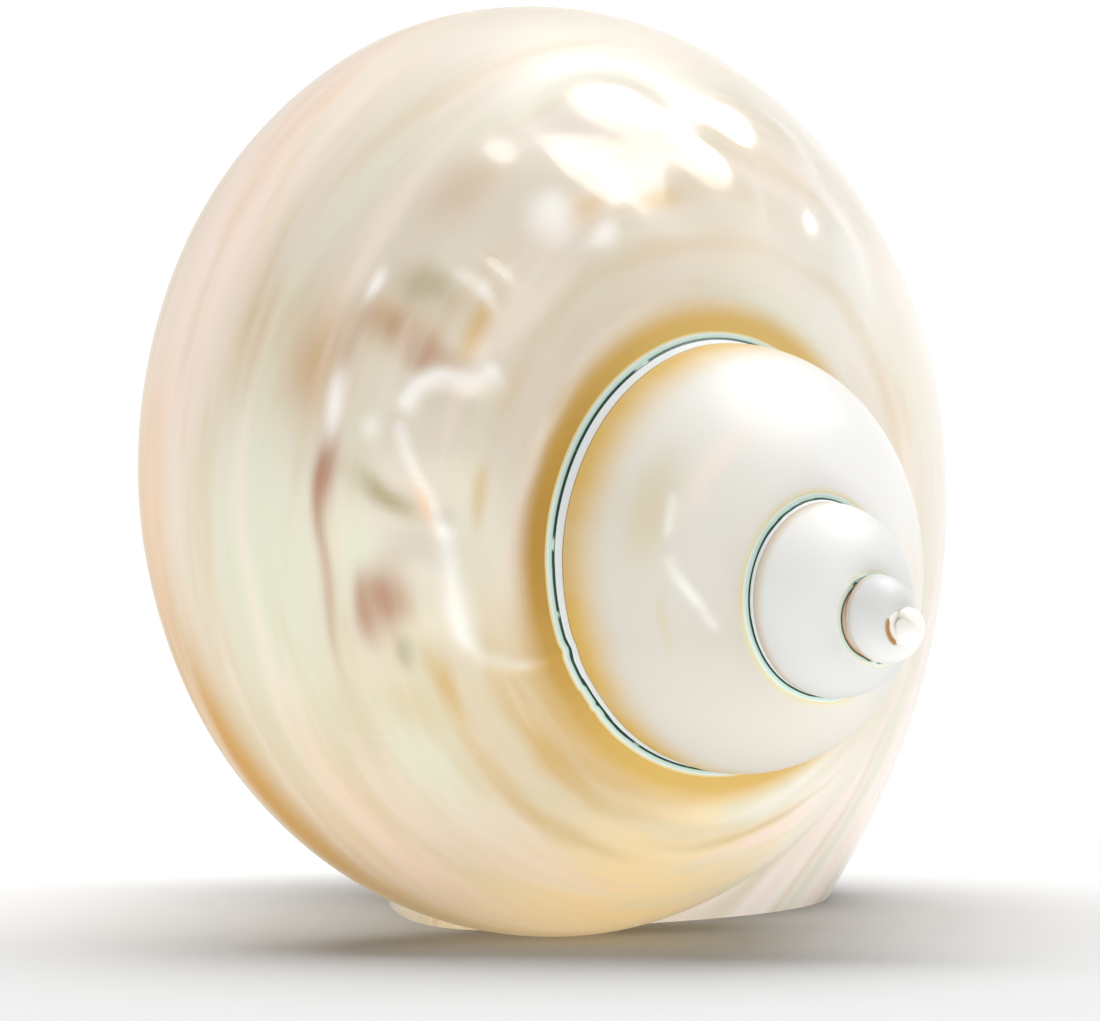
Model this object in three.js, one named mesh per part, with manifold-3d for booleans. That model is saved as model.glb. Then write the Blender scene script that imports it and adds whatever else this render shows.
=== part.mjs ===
// Turban shell: one hollow coiled shell lying on its mouth, in millimetres, +Z up.
// Its whorls follow an equiangular spiral, so one round outline, scaled and turned, makes them all.
import * as THREE from 'three';
import { mergeVertices } from 'three/addons/utils/BufferGeometryUtils.js';
import Module from 'manifold-3d';

const wasm = await Module();
wasm.setup();

// Whorl outline, at the size that the coil has where its angle is zero
const GROWTH_PER_TURN = 2.218;
const SUTURE_RADIUS = 12.65;
const SUTURE_DROP = 18.68;
const WHORL_RADIUS = 18.4;
const CROWN_FLATTENING = 0.92;
const WHORL_SHEAR = 0.205;
const AXIS_GAP = 0.25;

// Coil angles in radians, growing from the tip to the mouth
const SEGMENT_ANGLES = [-24.6, -18.8, -13.0, -7.1, -1.2, 4.2];

// Mouth: its foot lags behind its shoulder, and its wall rounds in to the drop where it closes
const FOOT_LAG = 1.2;
const LAG_START = 0.2;
const MOUTH_ROUNDING = 0.26;
const CLOSING_DROP = 20.0;

// Tip of the spire, a small ball that leans a little off the coiling axis
const TIP_LEAN = new THREE.Vector3(-1.89, -1.39, 0.54);
const TIP_LEAN_FADE = 0.1;
const TIP_RADIUS = 0.92;
const TIP_DROP = 1.6;

// Hollow inside the last whorl, the pillar that it turns around and the core that fills the pillar's axis
const WALL = 2.0;
const HOLLOW_START = -0.45;
const HOLLOW_START_ROUNDING = 0.6;
const HOLLOW_END_ROUNDING = 0.12;
const PILLAR_RADIUS = 2.6;
const CORE_RADIUS = 0.5;
const CORE_DROP = 30.0;

// How the shell lies: the way the apex points, the turn about its axis and the apex's place
const APEX_AZIMUTH = -52.0;
const APEX_DIP = 5.6;
const AXIS_SPIN = -123.4;
const APEX_PLACE = new THREE.Vector3(20.3, -37.9, 19.15);

// Facets
const OUTLINE_POINTS = 40;
const HOLLOW_OUTLINE_POINTS = 20;
const SEGMENT_STEPS = [15, 18, 26, 38, 46];
const HOLLOW_STEPS = 30;
const ROUNDING_STEPS = 6;
const CORE_SIDES = 8;
const CORE_STEPS = 12;
const TIP_SIDES = 12;
const FLOOR_SLAB = 300;
const JOIN_TOLERANCE = 0.01;

const PEARL = new THREE.MeshStandardMaterial({ color: 0xefe4d2, roughness: 0.22, metalness: 0 });

const degrees = THREE.MathUtils.degToRad;
const pose = new THREE.Matrix4()
  .makeRotationZ(degrees(APEX_AZIMUTH))
  .multiply(new THREE.Matrix4().makeRotationY(degrees(90 + APEX_DIP)))
  .multiply(new THREE.Matrix4().makeRotationZ(degrees(AXIS_SPIN)))
  .setPosition(APEX_PLACE);

function growth(angle) {
  return GROWTH_PER_TURN ** (angle / (2 * Math.PI));
}

// Closed outline of a whorl as (radius, drop) pairs: a sheared circle through both of its sutures
function whorlOutline(count) {
  const upper = new THREE.Vector2(SUTURE_RADIUS, SUTURE_DROP);
  const lower = upper.clone().multiplyScalar(GROWTH_PER_TURN);
  const middle = upper.clone().add(lower).multiplyScalar(0.5);
  const along = lower.clone().sub(upper);
  const halfChord = along.length() / 2;
  along.normalize();
  const outward = new THREE.Vector2(along.y, -along.x);
  const centre = -Math.sqrt(WHORL_RADIUS ** 2 - halfChord ** 2);
  const points = [];
  for (let i = 0; i < count; i += 1) {
    const turn = (2 * Math.PI * i) / count;
    let out = centre + WHORL_RADIUS * Math.sin(turn);
    out *= out > 0 ? CROWN_FLATTENING : 1;
    const down = WHORL_RADIUS * Math.cos(turn) + WHORL_SHEAR * out;
    points.push(middle.clone().addScaledVector(along, down).addScaledVector(outward, out));
  }
  return points;
}

// The outline moved inwards by a distance, along its own normals
function insetOutline(outline, distance) {
  return outline.map((point, i) => {
    const before = outline.at(i - 1);
    const after = outline[(i + 1) % outline.length];
    const normal = new THREE.Vector2(after.y - before.y, before.x - after.x).normalize();
    return point.clone().addScaledVector(normal, distance);
  });
}

function leanAt(size) {
  return TIP_LEAN.clone().multiplyScalar(Math.exp(-size / TIP_LEAN_FADE));
}

// How far the foot of a ring lags behind its shoulder
function lagAt(angle) {
  const share = (angle - LAG_START) / (SEGMENT_ANGLES.at(-1) - LAG_START);
  return FOOT_LAG * THREE.MathUtils.clamp(share, 0, 1) ** 2;
}

// Points of one ring of the coil; the part of the outline past the axis is pressed flat beside it
function coilRing({ angle, outline, leastRadius, shrink }) {
  const lag = lagAt(angle);
  const deepest = Math.max(...outline.map((point) => point.y));
  return outline.map((point) => {
    const footShare = Math.max(0, (point.y - SUTURE_DROP) / (deepest - SUTURE_DROP));
    const turned = angle - lag * footShare * shrink;
    const size = growth(turned);
    const radius = leastRadius + Math.max(0, point.x - leastRadius) * shrink;
    const drop = CLOSING_DROP + (point.y - CLOSING_DROP) * shrink;
    const place = new THREE.Vector3(radius * Math.cos(turned), -radius * Math.sin(turned), -drop);
    return place.multiplyScalar(size).add(leanAt(size)).applyMatrix4(pose);
  });
}

function solidFrom(vertProperties, triVerts) {
  const faces = new wasm.Mesh({ numProp: 3, vertProperties, triVerts, tolerance: JOIN_TOLERANCE });
  return new wasm.Manifold(faces);
}

// Closed solid through a row of rings, with a fan over each end
function loft(rings) {
  const sides = rings[0].length;
  const vertices = rings.flat();
  const triangles = [];
  for (let row = 0; row + 1 < rings.length; row += 1) {
    for (let side = 0; side < sides; side += 1) {
      const next = (side + 1) % sides;
      const a = row * sides + side;
      const b = row * sides + next;
      triangles.push([a, b, a + sides], [b, b + sides, a + sides]);
    }
  }
  const ends = [rings[0], rings.at(-1)];
  ends.forEach((ring, end) => {
    const first = end === 0 ? 0 : (rings.length - 1) * sides;
    const hub = vertices.length;
    const sum = ring.reduce((total, point) => total.add(point), new THREE.Vector3());
    vertices.push(sum.divideScalar(sides));
    for (let side = 0; side < sides; side += 1) {
      const a = first + side;
      const b = first + ((side + 1) % sides);
      triangles.push(end === 0 ? [hub, b, a] : [hub, a, b]);
    }
  });
  const places = new Float32Array(vertices.flatMap((vertex) => vertex.toArray()));
  return solidFrom(places, new Uint32Array(triangles.flat()));
}

// Stretch of the coil between two angles, with either end drawn in to a round
function coilStretch({ from, to, steps, outlineAt, leastRadius, startRounding = 0, endRounding = 0 }) {
  const rings = [];
  const addRing = (angle, shrink) => {
    rings.push(coilRing({ angle, outline: outlineAt(angle), leastRadius, shrink }));
  };
  const roundings = [];
  for (let i = 1; i < ROUNDING_STEPS; i += 1) {
    const turn = (Math.PI / 2) * (i / ROUNDING_STEPS);
    roundings.push({ share: Math.sin(turn), shrink: Math.cos(turn) });
  }
  if (startRounding > 0) {
    roundings.toReversed().forEach(({ share, shrink }) => addRing(from - startRounding * share, shrink));
  }
  for (let i = 0; i <= steps; i += 1) {
    addRing(THREE.MathUtils.lerp(from, to, i / steps), 1);
  }
  if (endRounding > 0) {
    roundings.forEach(({ share, shrink }) => addRing(to + endRounding * share, shrink));
  }
  return loft(rings);
}

// Core up the coiling axis, a slim cone that leans with the tip
function core() {
  const rings = [];
  const mouthAngle = SEGMENT_ANGLES.at(-1);
  const tipAngle = SEGMENT_ANGLES[0] - Math.PI;
  for (let i = 0; i <= CORE_STEPS; i += 1) {
    const size = growth(THREE.MathUtils.lerp(mouthAngle, tipAngle, i / CORE_STEPS));
    const ring = [];
    for (let side = 0; side < CORE_SIDES; side += 1) {
      const angle = (2 * Math.PI * side) / CORE_SIDES;
      const place = new THREE.Vector3(Math.cos(angle), Math.sin(angle), 0).multiplyScalar(CORE_RADIUS);
      place.z = -CORE_DROP;
      ring.push(place.multiplyScalar(size).add(leanAt(size)).applyMatrix4(pose));
    }
    rings.push(ring);
  }
  return loft(rings);
}

function mergedSolid(geometry) {
  geometry.deleteAttribute('normal');
  geometry.deleteAttribute('uv');
  const merged = mergeVertices(geometry);
  return solidFrom(merged.getAttribute('position').array, new Uint32Array(merged.index.array));
}

// Ball that the coil starts from
function tipBall() {
  const ball = new THREE.SphereGeometry(TIP_RADIUS, TIP_SIDES, TIP_SIDES / 2);
  const place = leanAt(growth(SEGMENT_ANGLES[0]));
  ball.translate(place.x, place.y, place.z - TIP_DROP);
  return mergedSolid(ball.applyMatrix4(pose));
}

// Everything below the surface that the shell lies on
function underFloor() {
  const slab = new THREE.BoxGeometry(FLOOR_SLAB, FLOOR_SLAB, FLOOR_SLAB);
  return mergedSolid(slab.translate(0, 0, -FLOOR_SLAB / 2));
}

const outline = whorlOutline(OUTLINE_POINTS);
const lastStretch = SEGMENT_STEPS.length - 1;
const stretches = SEGMENT_STEPS.map((steps, i) => coilStretch({
  from: SEGMENT_ANGLES[i],
  to: SEGMENT_ANGLES[i + 1],
  steps,
  outlineAt: () => outline,
  leastRadius: AXIS_GAP,
  endRounding: i === lastStretch ? MOUTH_ROUNDING : 0,
}));
const innerWhorls = stretches
  .slice(0, lastStretch)
  .reduce((joined, stretch) => joined.add(stretch), core().add(tipBall()));

// The hollow leaves the whorls inside it whole
const hollowOutline = whorlOutline(HOLLOW_OUTLINE_POINTS);
const hollow = coilStretch({
  from: HOLLOW_START,
  to: SEGMENT_ANGLES.at(-1),
  steps: HOLLOW_STEPS,
  outlineAt: (angle) => insetOutline(hollowOutline, WALL / growth(angle)),
  leastRadius: PILLAR_RADIUS,
  startRounding: HOLLOW_START_ROUNDING,
  endRounding: HOLLOW_END_ROUNDING,
}).subtract(innerWhorls);

// The joined stretches can leave slivers sealed inside, which fill up when only the outer body is kept
const carved = innerWhorls.add(stretches[lastStretch]).subtract(hollow).subtract(underFloor());
const pieces = carved.simplify(JOIN_TOLERANCE).decompose();
const body = pieces.reduce((largest, piece) => (piece.volume() > largest.volume() ? piece : largest));
const faces = body.getMesh();
const geometry = new THREE.BufferGeometry();
geometry.setAttribute('position', new THREE.BufferAttribute(faces.vertProperties, faces.numProp));
geometry.setIndex(new THREE.BufferAttribute(faces.triVerts, 1));
geometry.computeVertexNormals();

const shell = new THREE.Mesh(geometry, PEARL);
shell.name = 'shell';

const turbanShell = new THREE.Group();
turbanShell.add(shell);

export default turbanShell;
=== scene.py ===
"""Turban shell of polished mother of pearl, lying on its mouth on a pale studio floor.

Lengths are in metres and angles in radians unless a name says otherwise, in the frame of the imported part.
"""

import logging
import math
from dataclasses import dataclass, field
from enum import Enum

import bmesh
import bpy
import numpy as np
from mathutils import Matrix, Vector
from mathutils.kdtree import KDTree


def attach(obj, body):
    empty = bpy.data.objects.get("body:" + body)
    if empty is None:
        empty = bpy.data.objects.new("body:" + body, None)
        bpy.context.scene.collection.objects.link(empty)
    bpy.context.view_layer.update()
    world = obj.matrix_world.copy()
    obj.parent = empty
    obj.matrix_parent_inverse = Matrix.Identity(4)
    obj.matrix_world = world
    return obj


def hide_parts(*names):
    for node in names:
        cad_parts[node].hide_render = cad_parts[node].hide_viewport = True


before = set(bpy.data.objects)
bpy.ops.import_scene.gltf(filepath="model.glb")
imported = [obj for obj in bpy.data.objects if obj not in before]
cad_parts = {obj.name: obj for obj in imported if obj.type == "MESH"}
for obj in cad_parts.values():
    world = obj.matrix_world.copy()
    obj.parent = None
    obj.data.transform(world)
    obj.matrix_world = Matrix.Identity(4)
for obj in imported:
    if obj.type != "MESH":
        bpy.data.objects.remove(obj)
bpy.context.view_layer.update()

log = logging.getLogger("turban_shell")
PHOTO_WIDTH = 1100
MM = 0.001
FAR = 99.0
Span = tuple[float, float]
Socket = bpy.types.NodeSocket
Piece = bpy.types.Object


class Join(Enum):
    """How one solid is combined with another."""

    ADD = "UNION"
    CUT = "DIFFERENCE"


class Lit(Enum):
    """What a light falls on."""

    SHELL = "shell"
    FLOOR = "floor"


class Lamp(Enum):
    """Form of a light."""

    DISC = "AREA"
    BALL = "POINT"


class Place(Enum):
    """Names of the values that each face corner keeps about where it lies on the coil."""

    TURN = "coil_turn"
    ACROSS = "whorl_across"
    SEAM = "seam_distance"
    SHOULDER = "shoulder_strip"
    SKIRT = "skirt_strip"
    TINT = "pearl_tint"


@dataclass(frozen=True)
class Coil:
    """Equiangular spiral that all the whorls follow, one whorl outline, and the way the shell lies."""

    growth_per_turn: float = 2.218
    suture_radius: float = 12.65 * MM
    suture_drop: float = 18.68 * MM
    whorl_radius: float = 18.4 * MM
    crown_flattening: float = 0.92
    whorl_shear: float = 0.205
    tip_lean: tuple[float, float, float] = (-1.89 * MM, -1.39 * MM, 0.54 * MM)
    tip_lean_fade: float = 0.1
    mouth_turn: float = 4.2
    foot_lag: float = 1.2
    lag_start: float = 0.2
    closing_drop: float = 20.0 * MM
    fold_across: float = -0.35
    locate_rounds: int = 3
    apex_azimuth: float = math.radians(-52.0)
    apex_dip: float = math.radians(5.6)
    axis_spin: float = math.radians(-123.4)
    apex_place: tuple[float, float, float] = (20.3 * MM, -37.9 * MM, 19.15 * MM)

    def pose(self) -> Matrix:
        """Works out how the shell lies.

        Returns:
            The matrix from the coil's own axes, apex at the origin, to the part's frame.
        """
        turn = Matrix.Rotation(self.apex_azimuth, 4, "Z")
        dip = Matrix.Rotation(math.pi / 2 + self.apex_dip, 4, "Y")
        spin = Matrix.Rotation(self.axis_spin, 4, "Z")
        return Matrix.Translation(self.apex_place) @ turn @ dip @ spin

    def growth(self, turn: np.ndarray) -> np.ndarray:
        """Returns the coil's size at an angle along it, 1 at angle zero."""
        return self.growth_per_turn ** (np.asarray(turn, float) / (2 * math.pi))

    def lean(self, size: np.ndarray) -> np.ndarray:
        """Returns how far the axis has moved sideways where the coil has a size."""
        return np.exp(-np.asarray(size) / self.tip_lean_fade)[..., None] * np.array(self.tip_lean)

    def section(self) -> tuple[np.ndarray, np.ndarray, np.ndarray, float, float]:
        """Works out the axes of the whorl outline.

        Returns:
            Middle of the chord between the sutures, the direction along the chord, the direction outwards,
            the height of the outline's centre over the chord, and the angle at which the outline meets
            the upper suture.
        """
        upper = np.array([self.suture_radius, self.suture_drop])
        chord = upper * (self.growth_per_turn - 1)
        half = np.linalg.norm(chord) / 2
        along = chord / (2 * half)
        outward = np.array([along[1], -along[0]])
        centre = -math.sqrt(self.whorl_radius**2 - half**2)
        return upper + chord / 2, along, outward, centre, math.acos(-half / self.whorl_radius)

    def outline(self, across: np.ndarray, swell: np.ndarray | float = 0.0) -> np.ndarray:
        """Places points on the whorl outline, at the size of angle zero.

        Args:
            across: places around the outline, 0 at the upper suture and 1 at the lower one.
            swell: how far each point stands out from the outline, as a share of the whorl's radius.

        Returns:
            Radius from the axis and drop below the apex, one pair for each place.
        """
        middle, along, outward, centre, first = self.section()
        angle = first + (math.pi - 2 * first) * np.asarray(across)
        radius = self.whorl_radius * (1 + swell)
        out = centre + radius * np.sin(angle)
        out = np.where(out > 0, out * self.crown_flattening, out)
        down = radius * np.cos(angle) + self.whorl_shear * out
        return middle + down[..., None] * along + out[..., None] * outward

    def locate(self, points: np.ndarray, turn: np.ndarray) -> tuple[np.ndarray, np.ndarray, np.ndarray]:
        """Finds where points lie on the whorl that passes them near a given angle.

        Args:
            points: places in the coil's own axes.
            turn: angle along the coil, right to within half a turn.

        Returns:
            The exact angle along the coil, the place across the whorl, and the distance from the outline's
            centre as a share of the whorl's radius.
        """
        middle, along, outward, centre, first = self.section()
        for _ in range(self.locate_rounds):
            size = self.growth(turn)
            bare = points - self.lean(size)
            angle = -np.arctan2(bare[..., 1], bare[..., 0])
            turn = angle + 2 * math.pi * np.round((turn - angle) / (2 * math.pi))
        size = self.growth(turn)
        bare = points - self.lean(size)
        radius = np.hypot(bare[..., 0], bare[..., 1])
        flat = np.stack([radius, -bare[..., 2]], -1) / size[..., None] - middle
        out = flat @ outward
        down = flat @ along - self.whorl_shear * out
        out = np.where(out > 0, out / self.crown_flattening, out) - centre
        place = np.arctan2(out, down)
        across = (first - place) / (2 * first - math.pi)
        span = 2 * math.pi / (2 * first - math.pi)
        across = np.where(across < self.fold_across, across + span, across)
        return turn, across, np.hypot(out, down) / self.whorl_radius


@dataclass(frozen=True)
class Crest:
    """A narrow ridge through a few points, each an angle along the coil and a place across the whorl."""

    path: tuple[tuple[float, float], ...]
    height: float
    width: float
    # Share of white painted along the ridge: a paler healed growth line together with a painted highlight
    # on it.
    paleness_and_highlight: float = 0.7
    turn_scale: float = 0.7

    def swell(self, turn: np.ndarray, across: np.ndarray) -> np.ndarray:
        """Works out the ridge's height, as a share of the whorl's radius.

        Args:
            turn: angles along the coil.
            across: places across the whorl.

        Returns:
            Height at each place.
        """
        nearest = np.full(np.shape(turn), FAR)
        points = [np.array([at * self.turn_scale, place]) for at, place in self.path]
        for start, end in zip(points, points[1:]):
            step = end - start
            u = turn * self.turn_scale - start[0]
            v = across - start[1]
            share = np.clip((u * step[0] + v * step[1]) / (step @ step), 0, 1)
            nearest = np.minimum(nearest, np.hypot(u - share * step[0], v - share * step[1]))
        return self.height * np.exp(-((nearest / self.width) ** 2))


@dataclass(frozen=True)
class KnobRow:
    """A row of worn knobs along the coil: its place, the knobs' spacing and how far they stand out."""

    across: float
    width: float
    height: float
    first: float
    spacing: float
    sharpness: float = 2.0
    spacing_wave: float = 0.5
    spacing_rate: float = 2.3
    spacing_start: float = 0.4
    slant: float = 2.5
    row_wave: float = 0.02
    row_rate: float = 3.1
    wear: float = 1.7

    def swell(self, turn: np.ndarray, across: np.ndarray) -> np.ndarray:
        """Works out the knobs' height, as a share of the whorl's radius.

        Args:
            turn: angles along the coil.
            across: places across the whorl.

        Returns:
            Height at each place.
        """
        phase = 2 * np.pi * (turn - self.first) / self.spacing
        aside = across - self.across
        phase = phase + self.spacing_wave * np.sin(self.spacing_rate * turn + self.spacing_start)
        phase = phase + self.slant * aside
        row = np.exp(-(((aside - self.row_wave * np.sin(self.row_rate * turn)) / self.width) ** 2))
        worn = row * (0.5 + 0.5 * np.cos(phase)) ** self.sharpness
        return self.height * np.tanh(self.wear * worn)


@dataclass(frozen=True)
class Relief:
    """Low relief on the polished whorls: two rows of worn knobs, growth swells and healed growth lines."""

    knob_rows: tuple[KnobRow, ...] = (
        KnobRow(0.28, 0.08, 0.042, -0.58, 0.45, 1.5),
        KnobRow(0.44, 0.06, 0.026, -0.36, 0.45, 1.5),
    )
    knob_start: float = -0.8
    knob_start_fade: float = 0.05
    knob_end: float = 1.9
    knob_end_fade: float = 0.3
    crests: tuple[Crest, ...] = (
        Crest(
            ((-0.81, 0.0), (-0.84, 0.06), (-0.85, 0.12), (-0.81, 0.17), (-0.73, 0.195)),
            0.008, 0.018, 0.4,
        ),
        Crest(((-0.73, 0.195), (-0.6, 0.2), (-0.46, 0.208), (-0.36, 0.225)), 0.014, 0.022, 0.8),
        Crest(((-0.36, 0.225), (-0.28, 0.25), (-0.2, 0.295), (-0.12, 0.33)), 0.012, 0.013, 0.6),
        Crest(((-0.05, 0.335), (0.01, 0.325), (0.05, 0.28), (0.1, 0.22), (0.15, 0.205)), 0.02, 0.02, 0.9),
        Crest(((-6.88, 0.16), (-6.75, 0.2), (-6.6, 0.3), (-6.52, 0.34)), 0.012, 0.028, 0.4),
        Crest(((-6.35, 0.375), (-6.2, 0.393)), 0.01, 0.024, 0.5),
    )
    dent_turn: float = 1.75
    dent_across: float = 0.36
    dent_reach: float = 0.32
    dent_width: float = 0.12
    dent_depth: float = 0.02
    swell_height: float = 0.0016
    swell_rates: Span = (7.3, 2.2)
    swell_beat: float = 2.9
    swell_beat_start: float = -1.3
    swell_fade: float = 4.0
    ledge_height: float = 0.018
    ledge_width: float = 0.035
    skirt_height: float = 0.05
    skirt_width: float = 0.075
    last_covered: float = -2.3
    covered_fade: float = 0.15

    def swell(self, turn: np.ndarray, across: np.ndarray) -> np.ndarray:
        """Works out how far the surface stands out from the plain whorl.

        Args:
            turn: angles along the coil.
            across: places across the whorl.

        Returns:
            Height as a share of the whorl's radius.
        """
        started = 0.5 + 0.5 * np.tanh((turn - self.knob_start) / self.knob_start_fade)
        ended = 0.5 - 0.5 * np.tanh((turn - self.knob_end) / self.knob_end_fade)
        height = started * ended * sum(row.swell(turn, across) for row in self.knob_rows)
        height = height + sum(crest.swell(turn, across) for crest in self.crests)
        along = (turn - self.dent_turn) / self.dent_reach
        aside = (across - self.dent_across) / self.dent_width
        height = height - self.dent_depth * np.exp(-(along**2 + aside**2))
        waves = np.sin(self.swell_rates[0] * turn + self.swell_rates[1] * across)
        swells = self.swell_height * waves * np.sin(self.swell_beat * turn + self.swell_beat_start)
        ledge = self.ledge_height * np.clip(1 - np.abs(across) / self.ledge_width, 0, 1) ** 2
        skirt = self.skirt_height * np.clip(1 - np.abs(across - 1) / self.skirt_width, 0, 1) ** 2
        skirt = skirt * (0.5 - 0.5 * np.tanh((turn - self.last_covered) / self.covered_fade))
        return height + swells * np.clip(across * self.swell_fade, 0, 1) + ledge + skirt


class Hue(Enum):
    """Colours of the polished pearl, as display red, green and blue from 0 to 255."""

    CHALK = (234, 233, 229)
    PEARL = (226, 222, 212)
    SILVER = (214, 215, 213)
    ASH = (211, 206, 194)
    MILK = (248, 245, 238)
    LINEN = (227, 217, 200)
    OAT = (217, 206, 189)
    CREAM = (216, 203, 174)
    # SAND is lighter than the pearl's own colour: painted fill light on the lower part of the last whorl,
    # which faces the floor.
    SAND = (252, 230, 188)
    STRAW = (252, 222, 166)
    KHAKI = (213, 200, 164)
    GOLD = (206, 171, 106)
    HONEY = (182, 140, 58)
    BRASS = (217, 182, 104)
    AMBER = (202, 146, 34)
    BLUSH = (249, 229, 217)
    PEACH = (236, 201, 165)
    CLAY = (176, 132, 104)
    TAN = (200, 170, 134)
    OLIVE = (174, 160, 122)
    MINT = (220, 222, 200)
    STRIP = (192, 218, 204)
    FROST = (226, 232, 234)
    LIME = (226, 216, 166)
    UMBER = (172, 128, 74)
    SEAM = (34, 62, 54)

    def linear(self) -> np.ndarray:
        """Returns the colour as linear red, green and blue from 0 to 1."""
        shown = np.array(self.value) / 255
        return np.where(shown > 0.04045, ((shown + 0.055) / 1.055) ** 2.4, shown / 12.92)

    def socket(self) -> tuple[float, float, float, float]:
        """Returns the colour as a shader socket takes it."""
        return (*self.linear().tolist(), 1.0)


@dataclass(frozen=True)
class Stroke:
    """One soft stroke of colour, placed by its middle on the coil, with half sizes along and across it."""

    hue: Hue
    turn: float
    across: float
    reach: float
    width: float
    strength: float = 0.9
    slant: float = 0.0
    edge_power: float = 1.25

    def share(self, turn: np.ndarray, across: np.ndarray) -> np.ndarray:
        """Works out how much of the stroke's colour lies on some places.

        Args:
            turn: angles along the coil.
            across: places across the whorl.

        Returns:
            Share of the stroke's colour at each place.
        """
        along = (turn - self.turn) / self.reach
        aside = (across - self.across - self.slant * (turn - self.turn)) / self.width
        return self.strength * np.exp(-((along**2 + aside**2) ** self.edge_power))


class Graph:
    """Short names for the shader nodes that a finish is made of."""

    def __init__(self, material: bpy.types.Material) -> None:
        """Starts with an empty node tree of one material."""
        self.tree = material.node_tree
        self.tree.nodes.clear()

    def node(self, kind: str, **settings: object) -> bpy.types.Node:
        """Adds a node.

        Args:
            kind: the node's type name.
            settings: properties to set on it.

        Returns:
            The new node.
        """
        made = self.tree.nodes.new(kind)
        for name, value in settings.items():
            setattr(made, name, value)
        return made

    def put(self, value: object, socket: Socket) -> None:
        """Links an output to an input, or sets the input to a plain value.

        Args:
            value: the output, or the plain value.
            socket: the input.
        """
        if isinstance(value, Socket):
            self.tree.links.new(value, socket)
        else:
            socket.default_value = value

    def math(self, operation: str, *values: object) -> Socket:
        """Combines numbers.

        Args:
            operation: the name of the operation.
            values: outputs or plain numbers.

        Returns:
            The result.
        """
        made = self.node("ShaderNodeMath", operation=operation)
        for socket, value in zip(made.inputs, values):
            self.put(value, socket)
        return made.outputs[0]

    def times(self, first: object, second: object) -> Socket:
        """Returns the product of two numbers."""
        return self.math("MULTIPLY", first, second)

    def between(self, value: object, low: float, high: float) -> Socket:
        """Makes a smooth step.

        Args:
            value: the number that the step depends on.
            low: value at which the step is 0.
            high: value at which the step is 1.

        Returns:
            The step.
        """
        made = self.node("ShaderNodeMapRange", interpolation_type="SMOOTHSTEP")
        for name, part in (("Value", value), ("From Min", low), ("From Max", high)):
            self.put(part, made.inputs[name])
        return made.outputs["Result"]

    def bump_at(self, value: object, middle: float, width: float) -> Socket:
        """Returns a soft hump of height 1 around a middle value."""
        away = self.math("ABSOLUTE", self.math("SUBTRACT", value, middle))
        return self.between(away, width, 0.0)

    def mix(self, share: object, first: object, second: object) -> Socket:
        """Mixes two colours.

        Args:
            share: share of the second colour.
            first: the first colour.
            second: the second colour.

        Returns:
            The mixed colour.
        """
        made = self.node("ShaderNodeMix", data_type="RGBA")
        self.put(share, made.inputs["Factor"])
        colours = [socket for socket in made.inputs if socket.type == "RGBA"]
        for value, socket in zip((first, second), colours):
            self.put(value.socket() if isinstance(value, Hue) else value, socket)
        return next(socket for socket in made.outputs if socket.type == "RGBA")

    def noise(self, vector: object, scale: float, detail: float = 2.0) -> Socket:
        """Makes soft noise.

        Args:
            vector: the place that the noise depends on.
            scale: how fine the noise is.
            detail: how many finer layers it has.

        Returns:
            The noise, around one half.
        """
        made = self.node("ShaderNodeTexNoise")
        self.put(vector, made.inputs["Vector"])
        made.inputs["Scale"].default_value = scale
        made.inputs["Detail"].default_value = detail
        return made.outputs["Fac"]

    def vector(self, *parts: object) -> Socket:
        """Joins numbers into a vector.

        Args:
            parts: up to three outputs or plain numbers.

        Returns:
            The vector.
        """
        made = self.node("ShaderNodeCombineXYZ")
        for socket, value in zip(made.inputs, parts):
            self.put(value, socket)
        return made.outputs[0]

    def kept(self, place: Place) -> Socket:
        """Returns one of the values that the face corners keep."""
        output = "Color" if place is Place.TINT else "Fac"
        return self.node("ShaderNodeAttribute", attribute_name=place.value).outputs[output]


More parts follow.
